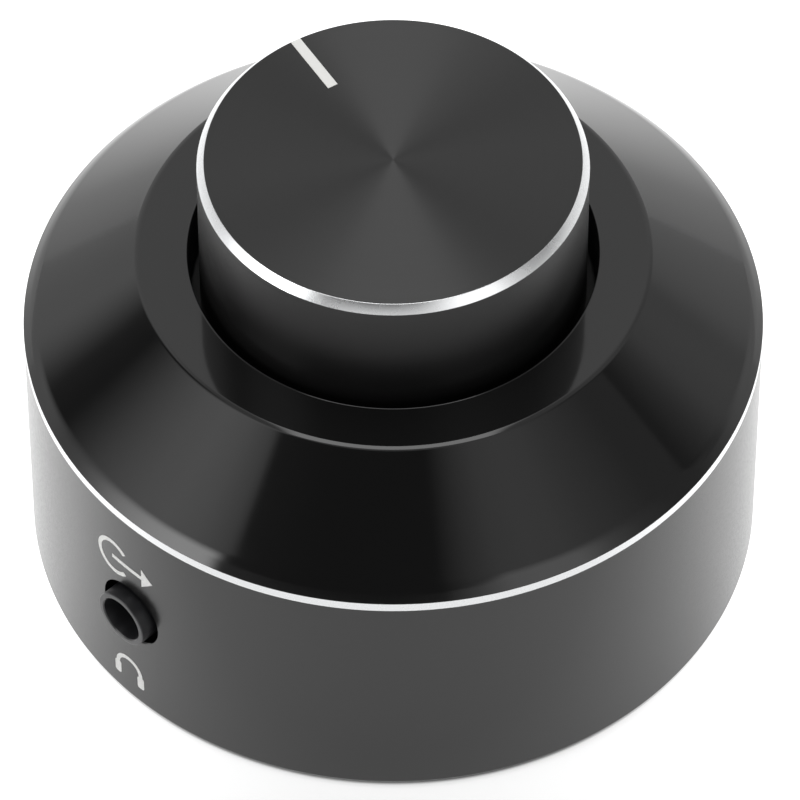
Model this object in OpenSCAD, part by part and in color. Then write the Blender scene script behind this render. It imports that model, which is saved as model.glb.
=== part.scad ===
// Desktop volume control: a turned aluminium case with a large knob sunk in its top,
// a dual-gang rotary potentiometer under it and two 3.5 mm jacks in the side.
// Millimetres, +Z up along the knob's axis, origin on the table under that axis.
// Azimuths are in degrees from +X, anticlockwise seen from above.

/* [Case] */
// Outside diameter of the case
case_d = 64; // [60:1:72]
// Height of the straight side wall, up to the bright band
side_h = 24; // [24:0.5:26]
// Height of the bright band between side wall and cone
band_h = 0.9; // [0.5:0.1:1.4]
// Height of the flat ring round the knob, above the case's bottom edge
ring_h = 33.4; // [33:0.1:35]
// Outside diameter of the flat ring, where the cone ends
ring_d = 43.8; // [42.4:0.2:46]
// Diameter of the well that the knob turns in
well_d = 35.3; // [35:0.1:36.4]
// Depth of the well below the flat ring
well_depth = 6; // [5.5:0.1:6.2]
// Thickness of the side wall
wall_t = 3; // [2.6:0.1:3.2]
// Thickness of the cone, the flat ring and the well's floor
top_t = 2.4; // [2:0.1:2.6]
// Height that the rubber feet hold the case above the table
foot_gap = 0.8; // [0.5:0.1:1.5]

/* [Knob] */
// Diameter of the knob
knob_d = 33.3; // [32:0.1:33.6]
// Height of the knob's face above the case's bottom edge
knob_top_h = 45; // [44.6:0.1:47]
// Width of the bright chamfer on the knob's rim, seen from above
rim_w = 0.6; // [0.4:0.1:0.9]
// Height of that chamfer
rim_h = 0.7; // [0.4:0.1:0.9]
// Thickness of the knob's wall
knob_wall_t = 2; // [1.6:0.1:2.2]
// Azimuth that the index mark points to at rest
mark_az = 121.5; // [100:0.5:140]
// Width of the index mark
mark_w = 1; // [0.8:0.1:1.4]
// Distance of the mark's inner end from the axis
mark_r0 = 9.8; // [6:0.1:12]

/* [Jacks] */
// Height of the jacks' axes above the case's bottom edge
jack_h = 11.9; // [11.5:0.1:13]
// Azimuth of the output jack
out_az = 225; // [215:1:235]
// Azimuth of the input jack
in_az = 135; // [125:1:145]
// Diameter of a jack's nozzle
nozzle_d = 5.4; // [5:0.1:6]
// Length of nozzle that stands out of the side wall
nozzle_proud = 1.1; // [0.6:0.1:2]
// Diameter of the plug bore in the nozzle
plug_bore_d = 3.6; // [3.6:0.05:3.7]
// Diameter of the hole in the case round the nozzle
jack_hole_d = 6.6; // [6.2:0.1:7]

/* [Potentiometer] */
// Diameter of the shaft
shaft_d = 6; // [6:0.35:6.35]
// Length of the shaft above the mounting face
shaft_len = 16; // [15:0.5:16]
// Diameter of the threaded bush
bush_d = 7; // [7:0.5:7.5]
// Full travel of the shaft between its stops, in degrees
travel = 300; // [280:5:305]

/* [Hidden] */
$fn = 96;
eps = 0.01;
run_gap = 0.05;       // radial clearance of a shaft or a screw in its hole

// case
case_r = case_d / 2;
case_z = foot_gap;
side_z = case_z + side_h;
cone_z = side_z + band_h;
ring_z = case_z + ring_h;
floor_z = ring_z - well_depth;
mount_z = floor_z - top_t;
cavity_r = case_r - wall_t;
ring_r = ring_d / 2;
well_r = well_d / 2;
pocket_r = well_r + top_t;
cone_a = atan2(ring_z - cone_z, case_r - ring_r);
cone_drop = top_t / cos(cone_a);
cone_edge = 0.15;     // bright cut where the cone meets the flat ring
well_edge = 0.2;      // broken edge of the well's mouth
foot_edge = 0.3;      // broken edge round the case's foot
through = 1;          // how far a cut runs past the face that it opens

// bottom cover and what holds it
cover_t = 2;
cover_inset = 1;
cover_ledge = 1;
cover_play = 0.15;
cover_seat_r = cavity_r + cover_ledge;
cover_r = cover_seat_r - cover_play;
cover_z = case_z + cover_inset;
seat_z = cover_z + cover_t;
lug_r = 3.6;
lug_inset = 2.4;
lug_at = cavity_r - lug_inset;
lug_azimuths = [0, 90, 180, 270];
screw_r = 1.5;
screw_head_r = 2.8;
screw_len = 8;
socket_corner_r = 1.15;
socket_depth = 1.2;
head_sink = 0.1;      // how far a head lies below the cover's face
cover_hole_r = 1.7;
cover_edge = 0.3;
foot_r = 4.5;
foot_at = 20.5;
foot_sink = 0.3;      // depth of a foot's seat in the cover
foot_lip = 0.6;
foot_taper = 0.3;
dish_r = 1.6;
dish_t = 0.2;

// circuit board and jacks
board_t = 1.6;
board_gap = 0.7;
board_r = cavity_r - board_gap;
pin_hole_r = 0.65;
jack_z = case_z + jack_h;
jack_body_h = 6.4;
jack_body_w = 7;
board_top = jack_z - jack_body_h / 2;
board_z = board_top - board_t;
jack_body_l = 12;
jack_gap = 0.4;       // air between a jack's body and the case's wall
jack_front = cavity_r - jack_gap;
jack_back = jack_front - jack_body_l;
nozzle_face = case_r + nozzle_proud;
plug_r = plug_bore_d / 2;
plug_depth = 14.5;
mouth_flare = 0.4;
mouth_r = plug_r + mouth_flare;
mouth_depth = 0.45;
nozzle_edge = 0.2;
shoulder_cut = 0.5;   // relief along the body's two top edges, behind the nozzle
shoulder_len = 3;
leaf_t = 0.25;
leaf_h = 2;
leaf_out = 3;         // distance of a leaf's fixed end from the plug's axis
leaf_knee = 1.6;      // distance of its knee from that axis, just inside the bore
leaf_foot = 0.8;      // length of the leaf past its knee
leg_w = 1;
leaf_gap = 0.3;       // air round a leaf in its pocket
pocket_in = 0.5;      // how far a pocket cuts into the bore's wall
pin_below = 0.8;      // length of a pin under the board
// each spring: distance of its fixed end from the case's axis, distance of its knee, side
tip_spring = [17.4, 21.2, 1];
ring_spring = [26.6, 23.6, -1];
sleeve_spring = [23.8, 26.6, 1];
springs = [tip_spring, ring_spring, sleeve_spring];
land_x = sleeve_spring[1] + leaf_foot + leaf_gap;   // inner end of the bore's close-fitting land
bore_relief = 0.2;    // how much wider the bore is behind that land, on the radius
peg_r = 0.6;
peg_short = 0.2;      // how far a locating peg stops above the board's underside
rear_peg = 2;         // distance of each peg from its end of the body
front_peg = 1.6;
peg_xs = [jack_back + rear_peg, jack_front - front_peg];

// potentiometer, from its mounting face down
plate_w = 18.2;
plate_t = 1.6;
chamber_h = 4.5;
chamber_r = 8.5;
chamber_bore_r = 7.3;
wafer_t = 1.4;
track_t = 0.1;
plate_z = mount_z - plate_t;
upper_wafer_z = plate_z - chamber_h - wafer_t;
lower_wafer_z = upper_wafer_z - chamber_h - wafer_t;
clamp_t = 0.6;
strap_t = 0.5;
strap_w = 5;
strap_in = chamber_r + run_gap;
tab_in = 1.2;
tab_drop = 0.3;
upper_tongue = 14;
lower_tongue = 11.5;
tongue_w = 12.6;
terminal_pitch = 5;
terminal_w = 1;
terminal_t = 0.4;
bush_r = bush_d / 2;
bush_len = 5.5;
bush_top = mount_z + bush_len;
washer_t = 0.5;
nut_t = 2;
nut_flats = 10;
bush_edge = 0.3;
nut_bevel = 0.8;
washer_r = 5.9;
tooth_slit = 0.6;
tooth_count = 8;
key_w = 2.4;          // locating key on the front plate, in a slot in the well's floor
key_t = 1.2;
key_h = 1.4;
key_at = 7.6;
slot_gap = 0.1;
rivet_r = 0.85;
rivet_h = 0.25;

// shaft, clip, rotors and wipers
shaft_r = shaft_d / 2;
shaft_top = mount_z + shaft_len;
shaft_edge = 0.5;
flat_at = 1.5;        // distance of the D-shaped end's flat from the axis
groove_r = 2.5;
clip_t = 0.5;
clip_gap = 0.15;
clip_z = bush_top + clip_gap;
clip_r = 4;
clip_mouth = 2.8;
collar_r = 4.2;
collar_t = 0.8;
collar_gap = 0.1;
collar_z = plate_z - collar_gap - collar_t;
stop_r = 6.8;
stop_lug_a = 24;
stop_play = 1;        // degrees left between lug and post at each end of the travel
stop_post_a = 360 - travel - stop_lug_a - 2 * stop_play;
mid_az = (out_az + in_az) / 2;
stop_post_az = mid_az + 180;
driver_r = 2.6;
driver_flats = 4;
driver_gap = 0.3;
driver_end = lower_wafer_z + wafer_t / 2;
rotor_r = 6.9;
rotor_t = 2.2;
rotor_drop = 0.2;
rotor_rise = chamber_h - collar_gap - collar_t - rotor_drop - rotor_t;   // its height over a wafer
rotor_groove = 0.8;
rotor_hub_r = 3.9;
wiper_t = 0.2;
wiper_a = 50;
wiper_lift = 0.1;     // air between a wiper's contacts and the track
contact_r = 0.4;
track_rs = [5.2, 6.6];
collector_rs = [3.7, 4.7];

// knob
knob_r = knob_d / 2;
knob_gap = 0.8;       // air between the knob and the well's floor
knob_z = floor_z + knob_gap;
knob_top = case_z + knob_top_h;
knob_bore_r = knob_r - knob_wall_t;
knob_face_t = 2.6;
knob_inside_z = knob_top - knob_face_t;
knob_edge = 0.3;
hub_r = 6;
hub_gap = 0.4;
hub_z = clip_z + clip_t + hub_gap;
hub_end_gap = 0.3;    // air above the shaft's end in the hub
insert_r = knob_bore_r - run_gap;
insert_ring_t = 1.2;
insert_ring_h = 7.4;
insert_z = knob_inside_z - insert_ring_h;
grip_gap = 0.02;
rib_t = 1.4;
rib_drop = 1;         // how far the ribs stop short of the ring's two edges
rib_count = 6;
mark_depth = 0.25;

module ring_solid(r_out, r_in, h) {
    difference() {
        cylinder(r = r_out, h = h);
        translate([0, 0, -through]) cylinder(r = r_in, h = h + 2 * through);
    }
}

// A sector of a flat ring, centred on azimuth 0.
module ring_sector(r_out, r_in, h, angle) {
    rotate([0, 0, -angle / 2])
        rotate_extrude(angle = angle)
            translate([r_in, 0])
                square([r_out - r_in, h]);
}

// Cylinder along +X from x0 to x1 at the height of the jacks' axes.
module along_x(r, x0, x1, r_end = -1) {
    translate([x0, 0, jack_z])
        rotate([0, 90, 0])
            cylinder(r1 = r, r2 = r_end < 0 ? r : r_end, h = x1 - x0);
}

// Outline of the case's outside, closed along the axis.
module case_outline() {
    polygon([[0, case_z], [case_r - foot_edge, case_z], [case_r, case_z + foot_edge],
             [case_r, cone_z], [ring_r, ring_z - cone_edge],
             [ring_r - cone_edge, ring_z], [0, ring_z]]);
}

// Turned from bar: the knob's well above, one cavity below with four screw lugs left standing.
module case_shell() {
    pocket_z = ring_z - top_t;
    wall_top_z = cone_z - cone_drop + wall_t * tan(cone_a);
    pocket_corner_r = case_r - (pocket_z + cone_drop - cone_z) / tan(cone_a);
    color("#26272a")
    difference() {
        union() {
            rotate_extrude() difference() {
                case_outline();
                polygon([[-1, 0], [cover_seat_r, 0], [cover_seat_r, seat_z],
                         [cavity_r, seat_z], [cavity_r, wall_top_z], [pocket_corner_r, pocket_z],
                         [pocket_r, pocket_z], [pocket_r, mount_z], [-1, mount_z]]);
                polygon([[-1, floor_z], [well_r, floor_z], [well_r, ring_z - well_edge],
                         [well_r + well_edge, ring_z], [well_r + well_edge, ring_z + through],
                         [-1, ring_z + through]]);
            }
            intersection() {
                rotate_extrude() difference() {
                    case_outline();
                    square([pocket_r, ring_z + through]);
                }
                for (az = lug_azimuths)
                    rotate([0, 0, az])
                        translate([lug_at, 0, seat_z]) cylinder(r = lug_r, h = pocket_z - seat_z);
            }
        }
        translate([0, 0, mount_z - through])
            cylinder(r = bush_r + run_gap, h = top_t + 2 * through);
        translate([-key_at - key_t - slot_gap, -key_w / 2 - slot_gap, mount_z - through])
            cube([key_t + 2 * slot_gap, key_w + 2 * slot_gap, top_t + 2 * through]);
        for (az = [out_az, in_az])
            rotate([0, 0, az])
                along_x(jack_hole_d / 2, cavity_r - through, case_r + through);
        for (az = lug_azimuths)
            rotate([0, 0, az])
                translate([lug_at, 0, seat_z - through])
                    cylinder(r = screw_r + run_gap, h = screw_len + through);
    }
}

// Plate that closes the case, set in its foot, with shallow seats for the feet.
module bottom_cover() {
    color("#2a2b2e")
    difference() {
        rotate_extrude()
            polygon([[0, cover_z], [cover_r - cover_edge, cover_z], [cover_r, cover_z + cover_edge],
                     [cover_r, seat_z], [0, seat_z]]);
        for (az = lug_azimuths)
            rotate([0, 0, az]) translate([lug_at, 0, cover_z - through]) {
                sink_r = screw_head_r + head_sink + through;
                cylinder(r = cover_hole_r, h = cover_t + 2 * through);
                cylinder(r1 = sink_r, r2 = cover_hole_r, h = sink_r - cover_hole_r);
            }
        for (az = lug_azimuths)
            rotate([0, 0, az + 45])
                translate([foot_at, 0, cover_z - through])
                    cylinder(r = foot_r + slot_gap, h = through + foot_sink);
    }
}

// Countersunk socket screw, head down, its head a little below the cover's face.
module cover_screw() {
    head_z = cover_z + head_sink;
    cone_h = screw_head_r - screw_r;
    difference() {
        union() {
            translate([0, 0, head_z]) cylinder(r1 = screw_head_r, r2 = screw_r, h = cone_h);
            translate([0, 0, head_z + cone_h]) cylinder(r = screw_r, h = screw_len - cone_h);
        }
        translate([0, 0, head_z - through])
            cylinder(r = socket_corner_r, h = through + socket_depth, $fn = 6);
    }
}

module cover_screws() {
    color("#b8babd")
    for (az = lug_azimuths)
        rotate([0, 0, az]) translate([lug_at, 0, 0]) cover_screw();
}

// Stuck-on moulded feet, with a shallow dish in the face that stands on the table.
module rubber_feet() {
    top = cover_z + foot_sink;
    color("#141414")
    for (az = lug_azimuths)
        rotate([0, 0, az + 45]) translate([foot_at, 0, 0])
            rotate_extrude()
                polygon([[0, top], [foot_r, top], [foot_r, top - foot_lip],
                         [foot_r - foot_taper, foot_taper], [foot_r - 2 * foot_taper, 0],
                         [dish_r, 0], [dish_r - 2 * dish_t, dish_t], [0, dish_t]]);
}

// Hole down through the board.
module drill(x, y, r) {
    translate([x, y, board_z - through]) cylinder(r = r, h = board_t + 2 * through);
}

// Round board with a notch for each lug, drilled for the jacks and the potentiometer.
module circuit_board() {
    color("#1d4d33")
    difference() {
        translate([0, 0, board_z]) cylinder(r = board_r, h = board_t);
        for (az = lug_azimuths)
            rotate([0, 0, az])
                drill(lug_at, 0, lug_r + board_gap);
        for (az = [out_az, in_az])
            rotate([0, 0, az]) {
                for (s = springs) drill(s[0] + leg_w / 2 * sign(s[1] - s[0]), s[2] * leaf_out, pin_hole_r);
                for (x = peg_xs) drill(x, 0, peg_r + slot_gap);
            }
        for (x = [upper_tongue, lower_tongue], k = [-1, 0, 1])
            drill(x + slot_gap + terminal_t / 2, k * terminal_pitch, pin_hole_r);
    }
}

// Opening in a jack's side for one leaf spring, with a channel down for its leg.
module leaf_pocket(s) {
    toward = sign(s[1] - s[0]);
    fixed_x = s[0] - toward * leaf_gap;
    free_x = s[1] + toward * (leaf_foot + leaf_gap);
    leg_room = leg_w + 2 * leaf_gap;
    leg_x = toward > 0 ? fixed_x : fixed_x - leg_room;
    mirror([0, s[2] > 0 ? 0 : 1, 0]) {
        translate([min(fixed_x, free_x), plug_r - pocket_in, jack_z - leaf_h / 2 - leaf_gap])
            cube([abs(free_x - fixed_x), jack_body_w, leaf_h + 2 * leaf_gap]);
        translate([leg_x, leaf_out - leaf_t / 2 - leaf_gap, board_top - through])
            cube([leg_room, jack_body_w, jack_z - board_top]);
    }
}

// Moulded body of a 3.5 mm jack, drawn at azimuth 0 with its nozzle along +X.
module jack_body() {
    difference() {
        union() {
            translate([jack_back, -jack_body_w / 2, board_top])
                cube([jack_front - jack_back, jack_body_w, jack_body_h]);
            along_x(nozzle_d / 2, jack_front - through, nozzle_face - nozzle_edge);
            along_x(nozzle_d / 2, nozzle_face - nozzle_edge, nozzle_face, nozzle_d / 2 - nozzle_edge);
            for (x = peg_xs)
                translate([x, 0, board_z + peg_short]) cylinder(r = peg_r, h = board_t);
        }
        along_x(plug_r, land_x - eps, nozzle_face + through);
        along_x(plug_r + bore_relief, nozzle_face - plug_depth, land_x);
        along_x(plug_r, nozzle_face - mouth_depth, nozzle_face + eps, mouth_r);
        for (s = springs) leaf_pocket(s);
        for (side = [-1, 1])
            translate([jack_back - through, side * jack_body_w / 2 - shoulder_cut,
                       board_top + jack_body_h - 2 * shoulder_cut])
                cube([shoulder_len + through, 2 * shoulder_cut, 2 * shoulder_cut + through]);
    }
}

// Strip of even thickness along the points of its centre line, for a bent leaf.
module strip(points, t) {
    last = len(points) - 1;
    polygon(concat([for (p = points) p + [0, t / 2]],
                   [for (i = [last:-1:0]) points[i] - [0, t / 2]]));
}

// Stamped leaf spring with a knee that presses on the plug, and a leg soldered in the board.
module leaf_spring(s) {
    reach = abs(s[1] - s[0]);
    translate([s[0], 0, 0]) mirror([s[1] < s[0] ? 1 : 0, 0, 0]) mirror([0, s[2] > 0 ? 0 : 1, 0]) {
        translate([0, 0, jack_z - leaf_h / 2])
            linear_extrude(height = leaf_h)
                strip([[0, leaf_out], [leg_w, leaf_out], [reach, leaf_knee],
                       [reach + leaf_foot, leaf_knee + leaf_foot / 2]], leaf_t);
        translate([0, leaf_out - leaf_t / 2, board_z - pin_below])
            cube([leg_w, leaf_t, jack_z - board_z + pin_below]);
    }
}

module out_jack_body() { color("#17181a") rotate([0, 0, out_az]) jack_body(); }
module out_jack_tip_spring() { color("#c9b98a") rotate([0, 0, out_az]) leaf_spring(tip_spring); }
module out_jack_ring_spring() { color("#c9b98a") rotate([0, 0, out_az]) leaf_spring(ring_spring); }
module out_jack_sleeve_spring() { color("#c9b98a") rotate([0, 0, out_az]) leaf_spring(sleeve_spring); }
module in_jack_body() { color("#17181a") rotate([0, 0, in_az]) jack_body(); }
module in_jack_tip_spring() { color("#c9b98a") rotate([0, 0, in_az]) leaf_spring(tip_spring); }
module in_jack_ring_spring() { color("#c9b98a") rotate([0, 0, in_az]) leaf_spring(ring_spring); }
module in_jack_sleeve_spring() { color("#c9b98a") rotate([0, 0, in_az]) leaf_spring(sleeve_spring); }

// Die-cast front plate with its threaded bush, locating key and stop post.
module pot_bushing() {
    color("#a9aba8")
    difference() {
        union() {
            translate([-plate_w / 2, -plate_w / 2, plate_z]) cube([plate_w, plate_w, plate_t]);
            translate([0, 0, mount_z - eps]) cylinder(r = bush_r, h = bush_len - bush_edge + eps);
            translate([0, 0, bush_top - bush_edge])
                cylinder(r1 = bush_r, r2 = bush_r - bush_edge, h = bush_edge);
            translate([-key_at - key_t, -key_w / 2, mount_z - eps]) cube([key_t, key_w, key_h + eps]);
            rotate([0, 0, stop_post_az])
                translate([0, 0, collar_z])
                    ring_sector(chamber_bore_r - slot_gap, collar_r + slot_gap,
                                plate_z - collar_z + eps, stop_post_a);
        }
        translate([0, 0, collar_z]) cylinder(r = shaft_r + run_gap, h = bush_top);
        for (side = [0, 1]) mirror([0, side, 0]) {
            translate([-strap_w / 2 - slot_gap, strap_in - run_gap, plate_z - through])
                cube([strap_w + 2 * slot_gap, plate_w, plate_t + 2 * through]);
            translate([-strap_w / 2 - slot_gap, strap_in - tab_in - slot_gap, mount_z - tab_drop - strap_t])
                cube([strap_w + 2 * slot_gap, plate_w, tab_drop + strap_t + through]);
        }
    }
}

// Two moulded rings, one round each gang's rotor.
module pot_chambers() {
    color("#2b2b2b")
    for (z = [upper_wafer_z + wafer_t, lower_wafer_z + wafer_t])
        translate([0, 0, z]) ring_solid(chamber_r, chamber_bore_r, chamber_h);
}

// Phenolic wafer with the printed carbon track and its collector ring, and a tongue for terminals.
module wafer(z, tongue) {
    difference() {
        union() {
            translate([0, 0, z]) cylinder(r = chamber_r, h = wafer_t);
            translate([0, -tongue_w / 2, z]) cube([tongue, tongue_w, wafer_t]);
            translate([0, 0, z + wafer_t - eps]) {
                rotate([0, 0, mid_az]) ring_sector(track_rs[1], track_rs[0], track_t + eps, travel);
                ring_solid(collector_rs[1], collector_rs[0], track_t + eps);
            }
        }
        translate([0, 0, z - through])
            cylinder(r = driver_r + driver_gap, h = wafer_t + 2 * through);
    }
}

module pot_upper_wafer() { color("#7a4a24") wafer(upper_wafer_z, upper_tongue); }
module pot_lower_wafer() { color("#7a4a24") wafer(lower_wafer_z, lower_tongue); }

// Three riveted terminals that bend down over the tongue's end and through the board.
module terminals(z, tongue) {
    top = z + wafer_t;
    near_x = chamber_r + terminal_w / 2;
    leg_x = tongue + slot_gap;
    for (k = [-1, 0, 1])
        translate([0, k * terminal_pitch - terminal_w / 2, 0]) {
            translate([near_x, 0, top]) cube([leg_x + terminal_t - near_x, terminal_w, terminal_t]);
            translate([leg_x, 0, board_z - pin_below])
                cube([terminal_t, terminal_w, top + terminal_t - board_z + pin_below]);
            translate([near_x + rivet_r, terminal_w / 2, top])
                cylinder(r = rivet_r, h = terminal_t + rivet_h);
        }
}

module pot_upper_terminals() { color("#c8c9c6") terminals(upper_wafer_z, upper_tongue); }
module pot_lower_terminals() { color("#c8c9c6") terminals(lower_wafer_z, lower_tongue); }

// Steel back plate whose two straps fold over the front plate and hold the stack together.
module pot_clamp() {
    top = mount_z - tab_drop;
    base_z = lower_wafer_z - clamp_t;
    color("#b9bbb9")
    union() {
        translate([-chamber_r, -strap_in - strap_t, base_z])
            cube([2 * chamber_r, 2 * (strap_in + strap_t), clamp_t]);
        for (side = [0, 1])
            mirror([0, side, 0]) {
                translate([-strap_w / 2, strap_in, base_z]) cube([strap_w, strap_t, top - base_z]);
                translate([-strap_w / 2, strap_in - tab_in, top - strap_t])
                    cube([strap_w, tab_in + strap_t, strap_t]);
            }
    }
}

// Hexagon nut with bevelled corners, on top of the well's floor.
module pot_nut() {
    z = floor_z + washer_t;
    corner_r = nut_flats / 2 / cos(30);
    color("#c4c6c8")
    difference() {
        intersection() {
            translate([0, 0, z]) cylinder(r = corner_r, h = nut_t, $fn = 6);
            rotate_extrude()
                polygon([[0, z], [corner_r, z], [corner_r, z + nut_t - nut_bevel / 2],
                         [corner_r - nut_bevel, z + nut_t], [0, z + nut_t]]);
        }
        translate([0, 0, z - through]) cylinder(r = bush_r + run_gap, h = nut_t + 2 * through);
    }
}

// Flat washer slit from its bore, so that its teeth bite the bush.
module lock_washer() {
    color("#b0b2b4")
    difference() {
        translate([0, 0, floor_z]) ring_solid(washer_r, bush_r + run_gap, washer_t);
        for (k = [0:tooth_count - 1])
            rotate([0, 0, k * 360 / tooth_count])
                translate([0, -tooth_slit / 2, floor_z - through])
                    cube([(bush_r + washer_r) / 2, tooth_slit, washer_t + 2 * through]);
    }
}

// Outline of the shaft's driving end: a circle with two flats.
module driver_outline(extra = 0) {
    intersection() {
        circle(r = driver_r + extra);
        square([2 * driver_r + 1, driver_flats + 2 * extra], center = true);
    }
}

// Shaft with D-shaped end, clip groove, collar with stop lug, and driving end.
module pot_shaft() {
    color("#d0d2d3")
    difference() {
        union() {
            rotate_extrude()
                polygon([[0, collar_z], [collar_r, collar_z], [collar_r, collar_z + collar_t],
                         [shaft_r, collar_z + collar_t], [shaft_r, clip_z - run_gap],
                         [groove_r, clip_z - run_gap], [groove_r, clip_z + clip_t + run_gap],
                         [shaft_r, clip_z + clip_t + run_gap], [shaft_r, shaft_top - shaft_edge],
                         [shaft_r - shaft_edge, shaft_top], [0, shaft_top]]);
            translate([0, 0, driver_end])
                rotate([0, 0, mark_az])
                    linear_extrude(height = collar_z - driver_end + eps) driver_outline();
            rotate([0, 0, mark_az])
                translate([0, 0, collar_z])
                    ring_sector(stop_r, (shaft_r + collar_r) / 2, collar_t, stop_lug_a);
        }
        rotate([0, 0, mark_az + 180])
            translate([flat_at, -shaft_r, hub_z]) cube([shaft_r, 2 * shaft_r, shaft_len]);
    }
}

// Open ring snapped into the shaft's groove, above the bush.
module shaft_clip() {
    color("#8d8f91")
    difference() {
        translate([0, 0, clip_z]) ring_solid(clip_r, groove_r, clip_t);
        rotate([0, 0, mark_az])
            translate([0, -clip_mouth / 2, clip_z - through])
                cube([clip_r + through, clip_mouth, clip_t + 2 * through]);
    }
}

// Moulded carriers that the shaft turns, one in each chamber.
module pot_rotors() {
    color("#e8e2d0")
    for (z = [upper_wafer_z, lower_wafer_z])
        rotate([0, 0, mark_az])
            translate([0, 0, z + wafer_t + rotor_rise])
                difference() {
                    cylinder(r = rotor_r, h = rotor_t);
                    translate([0, 0, -through])
                        linear_extrude(height = rotor_t + 2 * through) driver_outline(grip_gap);
                    translate([0, 0, rotor_t - rotor_groove])
                        ring_solid(rotor_r - rotor_groove, rotor_hub_r, rotor_t);
                }
}

// Spring wiper under each carrier: a flat arc with one contact on the track and one on the ring.
module pot_wipers() {
    color("#d8c48a")
    for (z = [upper_wafer_z, lower_wafer_z])
        rotate([0, 0, mark_az]) {
            under = z + wafer_t + rotor_rise;
            contact = z + wafer_t + track_t + wiper_lift;
            translate([0, 0, under - wiper_t])
                ring_sector(track_rs[1], collector_rs[0], wiper_t, wiper_a);
            for (rs = [collector_rs, track_rs])
                translate([(rs[0] + rs[1]) / 2, 0, contact])
                    rotate_extrude()
                        polygon([[0, 0], [contact_r / 2, 0], [contact_r, contact_r / 2],
                                 [contact_r, under - contact - wiper_t / 2],
                                 [0, under - contact - wiper_t / 2]]);
        }
}

// Outline of the index groove, seen from above, out past the knob's rim.
module mark_outline() {
    rotate([0, 0, mark_az])
        translate([mark_r0, -mark_w / 2]) square([knob_r, mark_w]);
}

// Section of the knob's outside, closed along the axis.
module knob_outline() {
    polygon([[0, knob_z], [knob_r - knob_edge, knob_z], [knob_r, knob_z + knob_edge],
             [knob_r, knob_top - rim_h], [knob_r - rim_w, knob_top], [0, knob_top]]);
}

// Turned cup: spun face, bright chamfered rim, straight side.
module knob_shell() {
    color("#2b2c2e")
    difference() {
        rotate_extrude() difference() {
            knob_outline();
            translate([-1, 0]) square([knob_bore_r + 1, knob_inside_z]);
        }
        translate([0, 0, knob_top - mark_depth]) linear_extrude(height = through) mark_outline();
    }
}

// Moulded core glued in the cup: hub on the shaft, ribs and outer ring.
module knob_insert() {
    top = knob_inside_z;
    rib_from = (shaft_r + hub_r) / 2;
    rib_to = insert_r - insert_ring_t / 2;
    color("#1b1b1c")
    rotate([0, 0, mark_az])
        difference() {
            union() {
                translate([0, 0, hub_z]) cylinder(r = hub_r, h = top - hub_z);
                translate([0, 0, insert_z])
                    ring_solid(insert_r, insert_r - insert_ring_t, top - insert_z);
                for (k = [0:rib_count - 1])
                    rotate([0, 0, (k + 0.5) * 360 / rib_count])
                        translate([rib_from, -rib_t / 2, insert_z + rib_drop])
                            cube([rib_to - rib_from, rib_t, top - insert_z - 2 * rib_drop]);
            }
            linear_extrude(height = shaft_top + hub_end_gap)
                difference() {
                    circle(r = shaft_r + grip_gap);
                    translate([-2 * shaft_r - flat_at - grip_gap, -shaft_r])
                        square([2 * shaft_r, 2 * shaft_r]);
                }
        }
}

// White filling of the groove in the knob's face, flush with it.
module index_mark() {
    color("#f2f2f0")
    intersection() {
        rotate_extrude() knob_outline();
        translate([0, 0, knob_top - mark_depth]) linear_extrude(height = through) mark_outline();
    }
}

case_shell();
bottom_cover();
cover_screws();
rubber_feet();
circuit_board();
out_jack_body();
out_jack_tip_spring();
out_jack_ring_spring();
out_jack_sleeve_spring();
in_jack_body();
in_jack_tip_spring();
in_jack_ring_spring();
in_jack_sleeve_spring();
pot_bushing();
pot_chambers();
pot_upper_wafer();
pot_lower_wafer();
pot_upper_terminals();
pot_lower_terminals();
pot_clamp();
pot_nut();
lock_washer();
pot_shaft();
shaft_clip();
pot_rotors();
pot_wipers();
knob_shell();
knob_insert();
index_mark();
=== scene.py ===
# Round desktop volume control: a turned and black anodised aluminium case, a knob sunk in its
# top, two 3.5 mm jacks in its side, and a potentiometer and a circuit board inside.
# Shapes are drawn in millimetres and scaled to metres; azimuths run anticlockwise from +X.
import math

import bmesh
import bpy
from mathutils import Matrix, Vector


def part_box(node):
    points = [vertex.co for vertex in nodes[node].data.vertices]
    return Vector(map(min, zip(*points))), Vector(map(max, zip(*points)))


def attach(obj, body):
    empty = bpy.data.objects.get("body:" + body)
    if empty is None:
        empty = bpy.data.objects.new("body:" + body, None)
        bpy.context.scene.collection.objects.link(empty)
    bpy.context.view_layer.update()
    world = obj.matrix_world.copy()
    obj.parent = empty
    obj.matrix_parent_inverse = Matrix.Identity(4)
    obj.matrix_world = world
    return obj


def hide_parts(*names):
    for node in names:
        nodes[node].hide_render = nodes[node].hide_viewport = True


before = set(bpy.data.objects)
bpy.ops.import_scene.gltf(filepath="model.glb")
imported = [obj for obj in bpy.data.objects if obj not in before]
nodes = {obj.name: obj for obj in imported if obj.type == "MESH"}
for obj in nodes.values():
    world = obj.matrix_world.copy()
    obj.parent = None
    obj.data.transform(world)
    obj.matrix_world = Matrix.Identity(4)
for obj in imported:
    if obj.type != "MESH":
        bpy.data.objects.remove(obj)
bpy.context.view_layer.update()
MM = 0.001


# Camera
# A long lens well above and in front of the control, fitted to the circles of its case, flat
# ring, well and knob. Its place is in metres, and its tilt in degrees from straight down.
CAMERA_PLACE = (0.00058, -0.43017, 0.53114)
CAMERA_TILT = 39.757
CAMERA_LENS = 345.15

camera = bpy.data.objects.new("camera", bpy.data.cameras.new("camera"))
camera.location = CAMERA_PLACE
camera.rotation_euler = (math.radians(CAMERA_TILT), 0, 0)
camera.data.lens = CAMERA_LENS
camera.data.sensor_width = 36
bpy.context.scene.collection.objects.link(camera)
bpy.context.scene.camera = camera
bpy.context.scene.view_settings.view_transform = "Standard"


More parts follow.
